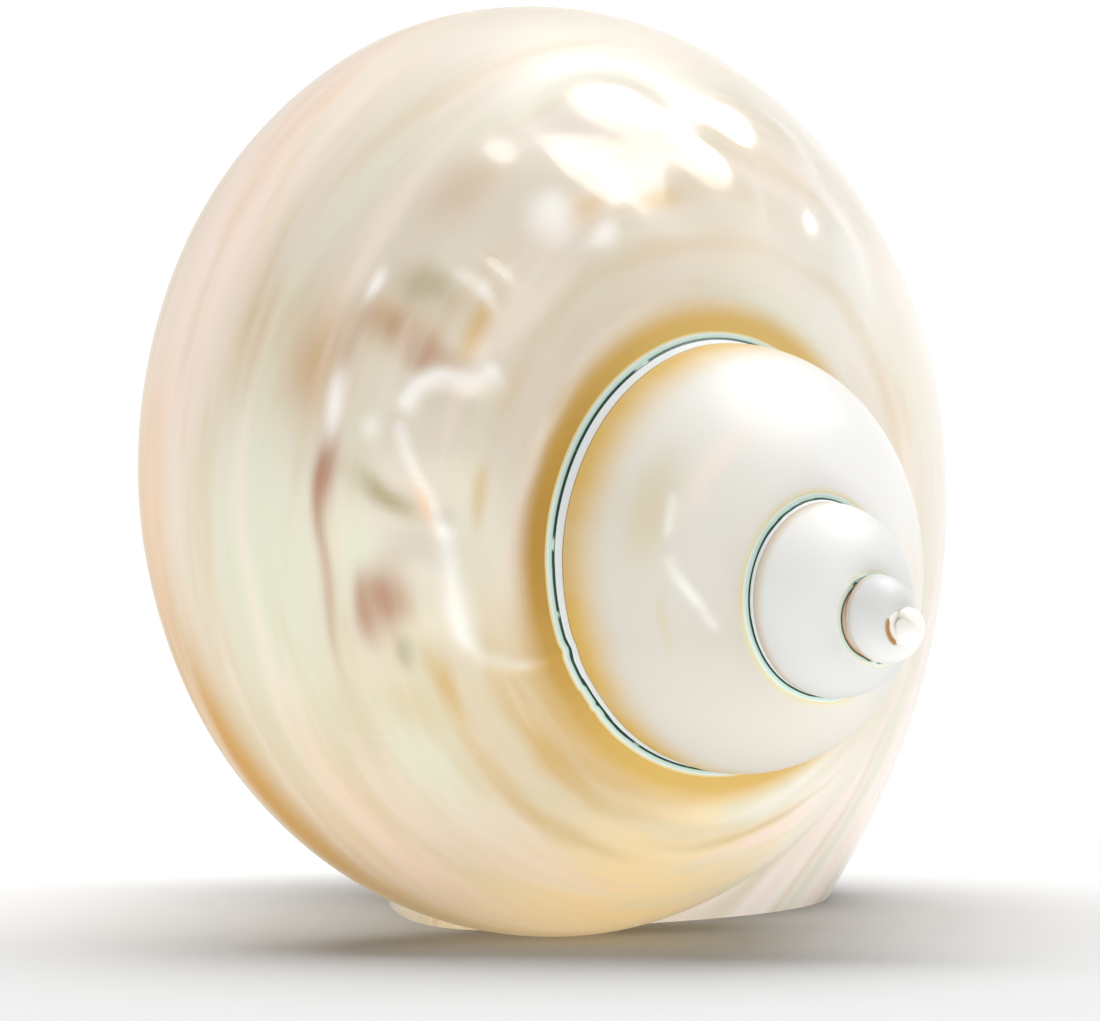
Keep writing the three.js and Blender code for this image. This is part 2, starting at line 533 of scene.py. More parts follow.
@dataclass(frozen=True)
class PearlFinish:
    """Polished mother of pearl: cream clouds, spiral streaks, strips at the sutures, painted highlights,
    painted fill light low on the last whorl, and a glossy coat.
    """

    satin: float = 0.3
    polish: float = 0.14
    specular_level: float = 0.3
    spire_dulling: float = 0.16
    spire_dull_turns: Span = (-3.0, -8.0)
    polish_across: float = 0.34
    polish_width: float = 0.36
    polish_turns: Span = (-1.1, -0.7)
    polish_noise_scale: float = 6.0
    polish_noise_layer: float = 5.0
    polish_noise: Span = (0.05, 0.45)
    unevenness: float = 0.01
    slow_waves: tuple[tuple[float, float, float], ...] = ((5.3, 9.0, 0.0), (8.7, -14.0, 1.1))
    quick_waves: tuple[tuple[float, float, float], ...] = ((17.0, 37.0, 0.6), (23.0, -53.0, 0.0))
    turn_quickness: float = 0.6
    across_slowness: float = 0.3
    across_quickness: float = 0.25
    streak_hues: tuple[tuple[Hue, float, float], ...] = (
        (Hue.GOLD, 0.0, 0.3),
        (Hue.BLUSH, 3.0, 0.4),
        (Hue.MINT, 7.0, 0.4),
    )
    streak_turns: Span = (-4.8, -2.6)
    streak_stretch: float = 0.12
    streak_scale: float = 9.0
    streak_detail: float = 3.0
    streak_noise: Span = (0.48, 0.72)
    last_whorl: Span = (-4.2, -3.0)
    past_tip: Span = (-16.4, -15.6)
    middle_whorls: Span = (-10.4, -9.4)
    halo: Span = (2.2, 1.2)
    halo_share: float = 0.5
    band: Span = (7.0, 2.6)
    band_darkest: float = -0.35
    band_dark_reach: float = 1.5
    rim_line: Span = (1.1, 0.25)
    strip_fade: Span = (0.5, 1.0)
    strip_edge: Span = (1.05, 0.9)
    fringe_noise_scale: float = 2.2
    fringe_noise_layer: float = 9.0
    fringe_noise: Span = (0.1, 0.6)
    fringe_turns: Span = (-10.0, -8.6)
    fringe: Span = (7.5, 1.8)
    spire_fringe_turns: Span = (-8.6, -10.0)
    spire_fringe: Span = (4.5, 1.2)
    spire_fringe_share: float = 0.6
    foot_line: Span = (1.06, 0.14)
    foot_edge: Span = (1.02, 0.94)
    gap_noise_scale: float = 5.0
    gap_noise_layer: float = 2.0
    gap_noise: Span = (0.36, 0.42)
    gapless_turns: Span = (-3.0, -4.0)
    seam_edge: Span = (1.0, 0.5)
    ring_edge: Span = (3.0, 1.0)
    ring_turns: Span = (-15.6, -16.6)
    coat_weight: float = 0.25
    coat_roughness: float = 0.08
    ground: tuple[tuple[float, Hue], ...] = (
        (-15.5, Hue.SILVER),
        (-13.5, Hue.SILVER),
        # Painted highlight: whiter ground on the second whorl, where its upper side catches the light.
        (-12.0, Hue.CHALK),
        (-10.2, Hue.SILVER),
        (-9.0, Hue.PEARL),
        (-7.0, Hue.ASH),
        (-6.0, Hue.PEARL),
        # Whiter ground at the end of the penultimate whorl: partly its own paler pearl, partly a painted
        # highlight on its upper side.
        (-5.0, Hue.CHALK),
        (-4.2, Hue.CHALK),
        (-3.2, Hue.LINEN),
        (-2.6, Hue.MILK),
        # Painted fill light: light SAND low on the last whorl.
        (-2.1, Hue.SAND),
        (-1.4, Hue.CREAM),
        (-0.9, Hue.CREAM),
        (-0.5, Hue.LINEN),
        (0.0, Hue.OAT),
        (0.7, Hue.OAT),
        (1.3, Hue.LINEN),
        (1.7, Hue.PEARL),
        (2.2, Hue.LINEN),
        (2.8, Hue.OAT),
        (3.1, Hue.MILK),
        (3.5, Hue.MILK),
        # Painted fill light: light SAND at the mouth end, low by the floor.
        (4.4, Hue.SAND),
    )
    strokes: tuple[Stroke, ...] = (
        # Painted fill light: light SAND over the underside near the floor.
        Stroke(Hue.SAND, -1.0, 1.6, 6.0, 0.45),
        Stroke(Hue.BLUSH, 0.2, 0.88, 0.75, 0.15),
        Stroke(Hue.AMBER, -1.05, 0.9, 0.62, 0.11, 0.95, 0.2),
        Stroke(Hue.MINT, -0.55, 0.6, 0.38, 0.14),
        Stroke(Hue.PEACH, -1.4, 0.62, 0.35, 0.1, 0.7),
        Stroke(Hue.MINT, -1.15, 0.37, 0.28, 0.06, 0.8),
        Stroke(Hue.STRAW, -2.1, 0.42, 0.5, 0.25, 0.8),
        Stroke(Hue.MILK, -2.45, 0.16, 0.25, 0.035),
        Stroke(Hue.GOLD, -1.3, 0.1, 0.6, 0.03, 0.7),
        Stroke(Hue.GOLD, -1.25, 0.155, 0.55, 0.03),
        Stroke(Hue.GOLD, -1.45, 0.27, 0.4, 0.022, 0.5),
        Stroke(Hue.KHAKI, -0.92, 0.33, 0.09, 0.05),
        Stroke(Hue.GOLD, -0.85, 0.265, 0.11, 0.025),
        # Painted highlight: white spread round the broad highlight on top of the last whorl.
        Stroke(Hue.MILK, 1.0, 0.6, 0.4, 0.2, 0.5),
        Stroke(Hue.CREAM, -0.04, 0.63, 0.14, 0.11, 0.7),
        Stroke(Hue.TAN, -0.06, 0.52, 0.15, 0.06),
        Stroke(Hue.TAN, -0.02, 0.605, 0.15, 0.012, 0.6),
        Stroke(Hue.TAN, -0.05, 0.655, 0.14, 0.01, 0.5),
        Stroke(Hue.TAN, 0.0, 0.7, 0.12, 0.01, 0.4),
        Stroke(Hue.PEACH, 0.4, 0.81, 0.3, 0.014, 0.6, 0.22),
        Stroke(Hue.CLAY, -0.35, 0.462, 0.4, 0.014, 0.7),
        Stroke(Hue.CLAY, -0.31, 0.457, 0.12, 0.022),
        Stroke(Hue.MINT, -0.48, 0.4, 0.13, 0.05),
        Stroke(Hue.CLAY, -0.6, 0.335, 0.09, 0.05),
        Stroke(Hue.CLAY, -0.62, 0.388, 0.08, 0.022, 0.8),
        Stroke(Hue.OLIVE, -0.75, 0.32, 0.05, 0.025),
        Stroke(Hue.OLIVE, -0.3, 0.345, 0.045, 0.06, 0.9, 0.7),
        Stroke(Hue.TAN, 0.1, 0.385, 0.065, 0.085),
        Stroke(Hue.CLAY, 0.09, 0.365, 0.045, 0.075, 0.7),
        Stroke(Hue.OLIVE, 0.22, 0.38, 0.055, 0.06, 0.8),
        Stroke(Hue.GOLD, 0.22, 0.265, 0.1, 0.022, 0.8),
        Stroke(Hue.TAN, 0.5, 0.44, 0.13, 0.04, 0.5),
        Stroke(Hue.OLIVE, 0.41, 0.3, 0.018, 0.03, 0.5),
        Stroke(Hue.GOLD, 0.73, 0.275, 0.06, 0.024, 0.7),
        Stroke(Hue.GOLD, 1.0, 0.255, 0.07, 0.02, 0.6),
        Stroke(Hue.GOLD, -0.22, 0.165, 0.1, 0.014),
        Stroke(Hue.PEACH, -0.3, 0.262, 0.07, 0.018, 0.9, 0.3),
        Stroke(Hue.GOLD, 0.8, 0.172, 0.6, 0.018, 0.3),
        # Painted highlights: white glints on the knobs, where their polished slopes catch the light.
        Stroke(Hue.MILK, -0.14, 0.39, 0.035, 0.018),
        Stroke(Hue.MILK, -0.14, 0.462, 0.08, 0.018),
        Stroke(Hue.MILK, 0.17, 0.468, 0.04, 0.012),
        Stroke(Hue.MILK, 0.3, 0.3, 0.025, 0.045),
        Stroke(Hue.MILK, 0.63, 0.3, 0.06, 0.045),
        Stroke(Hue.MILK, 0.73, 0.22, 0.06, 0.018),
        Stroke(Hue.MILK, 0.05, 0.075, 0.3, 0.013),
        Stroke(Hue.KHAKI, -6.3, 0.48, 0.3, 0.11, 0.7),
        Stroke(Hue.KHAKI, -6.9, 0.365, 0.2, 0.025, 0.5),
        Stroke(Hue.BLUSH, -5.9, 0.33, 0.3, 0.05, 0.5),
        # Painted highlight: white glint on the healed growth line of the penultimate whorl.
        Stroke(Hue.MILK, -6.68, 0.25, 0.09, 0.03, 0.6, 0.6),
        Stroke(Hue.MILK, -24.0, 0.5, 3.2, 4.0),
        Stroke(Hue.PEACH, -0.45, 0.98, 0.3, 0.1, 0.8),
        Stroke(Hue.GOLD, 3.1, 0.12, 0.6, 0.02, 0.6),
        Stroke(Hue.BLUSH, 3.1, 0.17, 0.7, 0.025, 0.8),
        Stroke(Hue.GOLD, 3.2, 0.215, 0.5, 0.01, 0.4),
        Stroke(Hue.MINT, 3.0, 0.25, 0.7, 0.025, 0.7),
        Stroke(Hue.BLUSH, 3.2, 0.31, 0.6, 0.03, 0.8),
        Stroke(Hue.KHAKI, 3.1, 0.36, 0.6, 0.014, 0.4),
        Stroke(Hue.BLUSH, -2.45, 0.27, 0.3, 0.03, 0.8),
        Stroke(Hue.GOLD, -2.35, 0.225, 0.4, 0.014, 0.5),
        Stroke(Hue.MINT, -2.4, 0.11, 0.3, 0.02, 0.6),
    )

    def tint(self, turn: np.ndarray, across: np.ndarray, crests: tuple[Crest, ...]) -> np.ndarray:
        """Paints the ground colour, the strokes and the pale crests, with painted highlights among the
        strokes and along the crests.

        Args:
            turn: angles along the coil.
            across: places across the whorl.
            crests: the ridges that are painted paler than the shell around them, partly as a painted
                highlight along each.

        Returns:
            Linear red, green and blue of each place.
        """
        turn, across = self.wander(turn, across)
        turns = [at for at, _ in self.ground]
        hues = np.array([hue.linear() for _, hue in self.ground])
        colour = np.stack([np.interp(turn, turns, hues[:, i]) for i in range(3)], -1)
        for stroke in self.strokes:
            share = stroke.share(turn, across)[:, None]
            colour = colour + share * (stroke.hue.linear() - colour)
        # Painted highlight: white along each ridge, as a paler healed growth line that also catches the
        # light.
        for crest in crests:
            share = (crest.paleness_and_highlight * crest.swell(turn, across) / crest.height)[:, None]
            colour = colour + share * (Hue.MILK.linear() - colour)
        return colour

    def wander(self, turn: np.ndarray, across: np.ndarray) -> tuple[np.ndarray, np.ndarray]:
        """Shifts places a little to and fro, so that the strokes get uneven edges.

        Args:
            turn: angles along the coil.
            across: places across the whorl.

        Returns:
            The shifted angles and places.
        """
        slow = sum(np.sin(rate * turn + slant * across + start) for rate, slant, start in self.slow_waves)
        quick = sum(np.sin(rate * turn + slant * across + start) for rate, slant, start in self.quick_waves)
        turn_shift = slow + self.turn_quickness * quick
        across_shift = self.across_slowness * slow + self.across_quickness * quick
        return turn + self.unevenness * turn_shift, across + self.unevenness * across_shift

    def material(self) -> bpy.types.Material:
        """Builds the finish.

        Returns:
            The material.
        """
        made = bpy.data.materials.new("polished_pearl")
        made.use_nodes = True
        graph = Graph(made)
        shader = graph.node("ShaderNodeBsdfPrincipled")
        colour = self.suture_strips(graph, self.streaks(graph))
        graph.put(colour, shader.inputs["Base Color"])
        polished = self.polished(graph)
        graph.put(self.gloss(graph, polished), shader.inputs["Roughness"])
        shader.inputs["Specular IOR Level"].default_value = self.specular_level
        graph.put(graph.times(polished, self.coat_weight), shader.inputs["Coat Weight"])
        shader.inputs["Coat Roughness"].default_value = self.coat_roughness
        output = graph.node("ShaderNodeOutputMaterial")
        graph.put(shader.outputs[0], output.inputs["Surface"])
        return made

    def polished(self, graph: Graph) -> Socket:
        """Works out where the surface is polished: among the knobs, and a little unevenly.

        Args:
            graph: the node tree to build in.

        Returns:
            Share of polish, from 0 to 1.
        """
        turn = graph.kept(Place.TURN)
        across = graph.kept(Place.ACROSS)
        row = graph.bump_at(across, self.polish_across, self.polish_width)
        knobs = graph.times(row, graph.between(turn, *self.polish_turns))
        uneven = graph.noise(graph.vector(turn, across, self.polish_noise_layer), self.polish_noise_scale)
        return graph.times(knobs, graph.between(uneven, *self.polish_noise))

    def gloss(self, graph: Graph, polished: Socket) -> Socket:
        """Works out how rough the surface is: least where it is polished, most on the small whorls.

        Args:
            graph: the node tree to build in.
            polished: share of polish.

        Returns:
            The roughness.
        """
        rough = graph.node("ShaderNodeMapRange")
        graph.put(polished, rough.inputs["Value"])
        rough.inputs["To Min"].default_value = self.satin
        rough.inputs["To Max"].default_value = self.polish
        spire = graph.between(graph.kept(Place.TURN), *self.spire_dull_turns)
        return graph.math("ADD", rough.outputs["Result"], graph.times(spire, self.spire_dulling))

    def streaks(self, graph: Graph) -> Socket:
        """Draws faint streaks along the spiral over the painted colour.

        Args:
            graph: the node tree to build in.

        Returns:
            The colour with the streaks.
        """
        turn = graph.kept(Place.TURN)
        across = graph.kept(Place.ACROSS)
        colour = graph.kept(Place.TINT)
        last = graph.between(turn, *self.streak_turns)
        for hue, layer, strength in self.streak_hues:
            place = graph.vector(graph.times(turn, self.streak_stretch), across, layer)
            lines = graph.noise(place, self.streak_scale, self.streak_detail)
            faint = graph.times(last, strength)
            share = graph.times(graph.between(lines, *self.streak_noise), faint)
            colour = graph.mix(share, colour, hue)
        return colour

    def suture_strips(self, graph: Graph, colour: Socket) -> Socket:
        """Lays the coloured strips along both sides of each suture over a colour.

        Args:
            graph: the node tree to build in.
            colour: the colour away from the sutures.

        Returns:
            The colour with the strips.
        """
        shoulder = graph.kept(Place.SHOULDER)
        skirt = graph.kept(Place.SKIRT)
        seam = graph.kept(Place.SEAM)
        turn = graph.kept(Place.TURN)
        grown = graph.between(turn, *self.past_tip)
        middle = graph.times(graph.between(turn, *self.middle_whorls), self.halo_share)
        pale = graph.times(graph.between(shoulder, *self.halo), middle)
        colour = graph.mix(pale, colour, Hue.LIME)
        rich = graph.times(graph.between(shoulder, *self.band), graph.between(turn, *self.last_whorl))
        dark = graph.bump_at(turn, self.band_darkest, self.band_dark_reach)
        colour = graph.mix(rich, colour, graph.mix(dark, Hue.BRASS, Hue.HONEY))
        rim = graph.times(graph.bump_at(shoulder, *self.rim_line), grown)
        colour = graph.mix(rim, colour, Hue.LIME)
        strip = graph.mix(graph.between(shoulder, *self.strip_fade), Hue.STRIP, Hue.FROST)
        inside = graph.times(graph.between(shoulder, *self.strip_edge), grown)
        colour = graph.mix(inside, colour, strip)
        uneven = graph.noise(graph.vector(turn, 0.0, self.fringe_noise_layer), self.fringe_noise_scale)
        fringed = graph.between(turn, *self.fringe_turns)
        fringed = graph.times(fringed, graph.between(uneven, *self.fringe_noise))
        fringe = graph.times(graph.between(skirt, *self.fringe), fringed)
        colour = graph.mix(fringe, colour, Hue.BRASS)
        spire = graph.between(turn, *self.spire_fringe_turns)
        spire_fringe = graph.times(graph.between(skirt, *self.spire_fringe), spire)
        colour = graph.mix(graph.times(spire_fringe, self.spire_fringe_share), colour, Hue.TAN)
        colour = graph.mix(graph.bump_at(skirt, *self.foot_line), colour, Hue.UMBER)
        colour = graph.mix(graph.between(skirt, *self.foot_edge), colour, Hue.FROST)
        gaps = graph.noise(graph.vector(turn, 0.0, self.gap_noise_layer), self.gap_noise_scale)
        gapless = graph.between(turn, *self.gapless_turns)
        solid = graph.math("MAXIMUM", graph.between(gaps, *self.gap_noise), gapless)
        line = graph.times(graph.between(seam, *self.seam_edge), solid)
        colour = graph.mix(graph.times(line, grown), colour, Hue.SEAM)
        ring = graph.times(graph.between(seam, *self.ring_edge), graph.between(turn, *self.ring_turns))
        return graph.mix(ring, colour, Hue.UMBER)


def read(items: bpy.types.bpy_prop_collection, name: str, kind: type, width: int = 1) -> np.ndarray:
    """Reads one value of every item of a mesh.

    Args:
        items: the mesh's vertices, edges, faces or face corners.
        name: the value's name.
        kind: type of its numbers.
        width: how many numbers it has.

    Returns:
        One number for each item, or one row of numbers.
    """
    values = np.empty(len(items) * width, kind)
    items.foreach_get(name, values)
    return values.reshape(-1, width) if width > 1 else values


@dataclass
class TurbanShell:
    """The whole shell, one piece: coiled whorls, a hollow last turn and the small round tip."""

    coil: Coil = field(default_factory=Coil)
    relief: Relief = field(default_factory=Relief)
    finish: PearlFinish = field(default_factory=PearlFinish)
    segment_turns: tuple[float, ...] = (-24.6, -18.8, -13.0, -7.1, -1.2, 4.2)
    segment_steps: tuple[int, ...] = (48, 64, 90, 190, 290)
    buried_places: tuple[float, ...] = (-0.16, -0.05, -0.025, -0.012, -0.006)
    suture_places: tuple[float, ...] = (0.0, 0.004, 0.008, 0.012, 0.017, 0.024, 0.034, 0.046)
    knob_places: tuple[float, float, int] = (0.056, 0.54, 56)
    side_places: tuple[float, float, int] = (0.56, 0.94, 20)
    base_places: tuple[float, float, int] = (1.06, 2.3, 44)
    hidden_places: tuple[float, float, int] = (2.4, 3.5, 10)
    axis_gap: float = 0.25 * MM
    mouth_rounding: float = 0.26
    rounding_steps: int = 14
    tip_radius: float = 0.92 * MM
    tip_drop: float = 1.6 * MM
    tip_sides: int = 40
    tip_rings: int = 24
    tip_reach: float = 1.02
    wall: float = 2.0 * MM
    hollow_start: float = -0.45
    hollow_start_rounding: float = 0.6
    hollow_end_rounding: float = 0.12
    hollow_steps: int = 80
    pillar_radius: float = 2.6 * MM
    core_radius: float = 0.5 * MM
    core_drop: float = 30.0 * MM
    core_sides: int = 16
    core_steps: int = 24
    floor_slab: float = 0.3
    crease_angle: float = math.radians(38.0)
    strip_widths: tuple[Span, ...] = ((-13.5, 0.27), (-7.0, 0.42), (-1.0, 0.44), (3.0, 0.44))
    seam_half_widths: tuple[Span, ...] = ((-19.0, 0.05), (-13.0, 0.05), (-7.0, 0.07), (-1.0, 0.09))
    seam_upper_share: float = 2.0
    skirt_width: float = 1.5
    inside_share: float = 0.965
    plain_share: float = 0.7
    plain_across: float = 0.6
    hidden_across: float = -0.04
    middle_across: float = 0.5
    covered_slack: float = 0.1
    mouth_slack: float = 0.05
    half_turns: tuple[int, int] = (-9, 4)
    suture_slack: float = 0.3
    suture_reach: float = 0.12
    suture_steps: int = 9

    def outline_places(self) -> np.ndarray:
        """Spreads places around the whorl outline, close together beside the sutures.

        Returns:
            The places, from the hidden side round to the upper suture.
        """
        near = np.array(self.suture_places)
        open_side = [np.linspace(*self.knob_places), np.linspace(*self.side_places)]
        base_side = [1 - near[::-1], 1 + near[1:], np.linspace(*self.base_places)]
        hidden = np.linspace(*self.hidden_places)
        return np.concatenate([self.buried_places, near, *open_side, *base_side, hidden])[::-1]

    def ring(
        self, turn: float, places: np.ndarray, inset: float, least_radius: float, shrink: float
    ) -> np.ndarray:
        """Places one ring of the coil.

        Args:
            turn: the ring's angle along the coil.
            places: its points' places around the whorl outline.
            inset: how far the ring lies inside the outline; a ring on the outside has none, and has relief.
            least_radius: the ring's closest distance to the axis, at the size of angle zero.
            shrink: how much of its full size the ring has, where an end rounds in.

        Returns:
            The points, in the coil's own axes.
        """
        coil = self.coil
        share = np.clip((turn - coil.lag_start) / (coil.mouth_turn - coil.lag_start), 0, 1)
        plain = coil.outline(places)
        depth = (plain[:, 1] - coil.suture_drop) / (plain[:, 1].max() - coil.suture_drop)
        turned = turn - coil.foot_lag * share**2 * np.clip(depth, 0, None) * shrink
        size = coil.growth(turned)
        swell = -inset / (coil.whorl_radius * size) if inset else self.relief.swell(turned, places)
        flat = coil.outline(places, swell)
        radius = least_radius + np.clip(flat[:, 0] - least_radius, 0, None) * shrink
        drop = coil.closing_drop + (flat[:, 1] - coil.closing_drop) * shrink
        points = np.stack([radius * np.cos(turned), -radius * np.sin(turned), -drop], -1)
        return points * size[:, None] + coil.lean(size)

    def loft(self, name: str, rings: list[np.ndarray]) -> Piece:
        """Makes a closed solid through a row of rings, with a fan over each end.

        Args:
            name: the object's name.
            rings: the rings' points, in the coil's own axes.

        Returns:
            The solid, in the part's frame.
        """
        sides = len(rings[0])
        points = np.concatenate([*rings, rings[0].mean(0)[None], rings[-1].mean(0)[None]])
        row, side = np.meshgrid(np.arange(len(rings) - 1), np.arange(sides), indexing="ij")
        a = (row * sides + side).ravel()
        b = (row * sides + (side + 1) % sides).ravel()
        quads = np.stack([a, b, b + sides, a + sides], -1).tolist()
        around = np.arange(sides)
        ahead = (around + 1) % sides
        last = (len(rings) - 1) * sides
        hub = len(points) - 2
        start = np.stack([np.full(sides, hub), ahead, around], -1).tolist()
        end = np.stack([np.full(sides, hub + 1), last + around, last + ahead], -1).tolist()
        mesh = bpy.data.meshes.new(name)
        mesh.from_pydata(points.tolist(), [], quads + start + end)
        mesh.transform(self.coil.pose())
        made = bpy.data.objects.new(name, mesh)
        bpy.context.scene.collection.objects.link(made)
        return made

    def stretch(
        self,
        name: str,
        first: float,
        last: float,
        steps: int,
        inset: float = 0.0,
        least_radius: float | None = None,
        start_rounding: float = 0.0,
        end_rounding: float = 0.0,
    ) -> Piece:
        """Makes a stretch of the coil between two angles.

        Args:
            name: the object's name.
            first: angle at which it starts.
            last: angle at which it ends.
            steps: number of rings between them.
            inset: how far it lies inside the whorl outline.
            least_radius: its closest distance to the axis, at the size of angle zero.
            start_rounding: angle over which its start rounds in, if it does.
            end_rounding: angle over which its end rounds in, if it does.

        Returns:
            The stretch as a closed solid.
        """
        places = self.outline_places()
        least = self.axis_gap if least_radius is None else least_radius
        quarter = np.linspace(0, math.pi / 2, self.rounding_steps + 1)[1:-1]
        plan = []
        if start_rounding:
            plan += [(first - start_rounding * math.sin(q), math.cos(q)) for q in quarter[::-1]]
        plan += [(turn, 1.0) for turn in np.linspace(first, last, steps + 1)]
        if end_rounding:
            plan += [(last + end_rounding * math.sin(q), math.cos(q)) for q in quarter]
        return self.loft(name, [self.ring(turn, places, inset, least, shrink) for turn, shrink in plan])

    def core(self) -> Piece:
        """Makes the slim cone that fills the axis of the coil.

        Returns:
            The cone.
        """
        around = 2 * math.pi * np.arange(self.core_sides) / self.core_sides
        flat = np.stack([np.cos(around), np.sin(around), 0 * around], -1) * self.core_radius
        flat[:, 2] = -self.core_drop
        turns = np.linspace(self.coil.mouth_turn, self.segment_turns[0] - math.pi, self.core_steps)
        sizes = self.coil.growth(turns)
        return self.loft("core", [flat * size + self.coil.lean(size) for size in sizes])

    def tip(self) -> Piece:
        """Makes the small ball that the coil starts from.

        Returns:
            The ball.
        """
        bpy.ops.mesh.primitive_uv_sphere_add(
            radius=self.tip_radius, segments=self.tip_sides, ring_count=self.tip_rings
        )
        made = bpy.context.object
        made.data.transform(self.coil.pose() @ Matrix.Translation(self.tip_place().tolist()))
        return made

    def tip_place(self) -> np.ndarray:
        """Returns the middle of the ball at the tip, in the coil's own axes."""
        return self.coil.lean(self.coil.growth(self.segment_turns[0])) - np.array([0, 0, self.tip_drop])

    def under_floor(self) -> Piece:
        """Returns a block of everything below the surface that the shell lies on."""
        bpy.ops.mesh.primitive_cube_add(size=self.floor_slab, location=(0, 0, -self.floor_slab / 2))
        return bpy.context.object

    def combine(self, base: Piece, join: Join, other: Piece) -> None:
        """Adds another solid to a base or cuts it out of it, and keeps the other one.

        Args:
            base: the solid that changes.
            join: what is done to it.
            other: the other solid.
        """
        step = base.modifiers.new(join.name, "BOOLEAN")
        step.operation = join.value
        step.solver = "MANIFOLD"
        step.object = other
        graph = bpy.context.evaluated_depsgraph_get()
        result = bpy.data.meshes.new_from_object(base.evaluated_get(graph))
        base.modifiers.clear()
        base.data = result

    def build(self) -> Piece:
        """Builds the shell.

        Returns:
            The shell as one closed mesh.
        """
        turns = self.segment_turns
        stretches = [
            self.stretch(f"stretch_{i}", turns[i], turns[i + 1], steps,
                         end_rounding=self.mouth_rounding if i == len(self.segment_steps) - 1 else 0.0)
            for i, steps in enumerate(self.segment_steps)
        ]
        inner = self.core()
        tip = self.tip()
        for part in [tip, *stretches[:-1]]:
            self.combine(inner, Join.ADD, part)
        hollow = self.stretch("hollow", self.hollow_start, turns[-1], self.hollow_steps, self.wall,
                              self.pillar_radius, self.hollow_start_rounding, self.hollow_end_rounding)
        self.combine(hollow, Join.CUT, inner)
        shell = inner
        slab = self.under_floor()
        self.combine(shell, Join.ADD, stretches[-1])
        self.combine(shell, Join.CUT, hollow)
        self.combine(shell, Join.CUT, slab)
        for spare in (tip, hollow, slab, *stretches):
            bpy.data.objects.remove(spare)
        shell.name = shell.data.name = "pearl_shell"
        self.keep_outer_body(shell)
        return shell

    def keep_outer_body(self, shell: Piece) -> None:
        """Drops the slivers that the joined stretches leave sealed inside the shell.

        Args:
            shell: the joined mesh.
        """
        mesh = shell.data
        edges = read(mesh.edges, "vertices", int, 2)
        label = np.arange(len(mesh.vertices))
        while True:
            lowest = label[edges].min(1)
            spread = label.copy()
            np.minimum.at(spread, edges.ravel(), np.repeat(lowest, 2))
            spread = spread[spread]
            if (spread == label).all():
                break
            label = spread
        outer = np.bincount(label).argmax()
        cleaned = bmesh.new()
        cleaned.from_mesh(mesh)
        spare = [vertex for vertex, found in zip(cleaned.verts, label) if found != outer]
        bmesh.ops.delete(cleaned, geom=spare, context="VERTS")
        cleaned.to_mesh(mesh)
        cleaned.free()

    def mark_places(self, shell: Piece) -> None:
        """Stores on each face corner where it lies on the coil.

        Args:
            shell: the finished mesh.
        """
        mesh = shell.data
        unpose = np.array(self.coil.pose().inverted())
        points = read(mesh.vertices, "co", float, 3) @ unpose[:3, :3].T + unpose[:3, 3]
        corners = read(mesh.loops, "vertex_index", int)
        counts = read(mesh.polygons, "loop_total", int)
        owner = np.repeat(np.arange(len(counts)), counts)
        middle = np.stack([np.bincount(owner, points[corners, i]) for i in range(3)], -1) / counts[:, None]
        face_turn = self.turn_of(middle)
        turn, across, share = self.coil.locate(points[corners], face_turn[owner])
        size = self.coil.growth(turn)
        away = self.suture_distance(mesh, points, middle, face_turn, owner)[corners] / MM
        outside = share > self.inside_share
        upper = np.where(outside & (across < self.middle_across), away, FAR)
        covered = face_turn[owner] < self.coil.mouth_turn - 2 * math.pi - self.covered_slack
        lower = np.where(outside & covered & (across > self.middle_across), away, FAR)
        from_tip = np.linalg.norm(middle - self.tip_place(), axis=1)
        ball = (from_tip < self.tip_radius * self.tip_reach)[owner]
        turn = np.where(ball, self.segment_turns[0], turn)
        upper = np.where(ball, FAR, upper)
        lower = np.where(ball, FAR, lower)
        painted = np.clip((share - self.plain_share) / (self.inside_share - self.plain_share), 0, 1)
        across = self.plain_across + (across - self.plain_across) * painted
        strip = np.interp(turn, *zip(*self.strip_widths))
        seam = np.interp(turn, *zip(*self.seam_half_widths))
        values = {
            Place.TURN: turn,
            Place.ACROSS: across,
            Place.SEAM: np.minimum(upper / self.seam_upper_share, lower) / seam,
            Place.SHOULDER: upper / strip,
            Place.SKIRT: lower / (self.skirt_width * size),
        }
        for place, numbers in values.items():
            kept = mesh.attributes.new(place.value, "FLOAT", "CORNER")
            kept.data.foreach_set("value", numbers.astype(np.float32))
        tint = np.ones((len(turn), 4), np.float32)
        tint[:, :3] = self.finish.tint(turn, across, self.relief.crests)
        kept = mesh.attributes.new(Place.TINT.value, "FLOAT_COLOR", "CORNER")
        kept.data.foreach_set("color", tint.ravel())

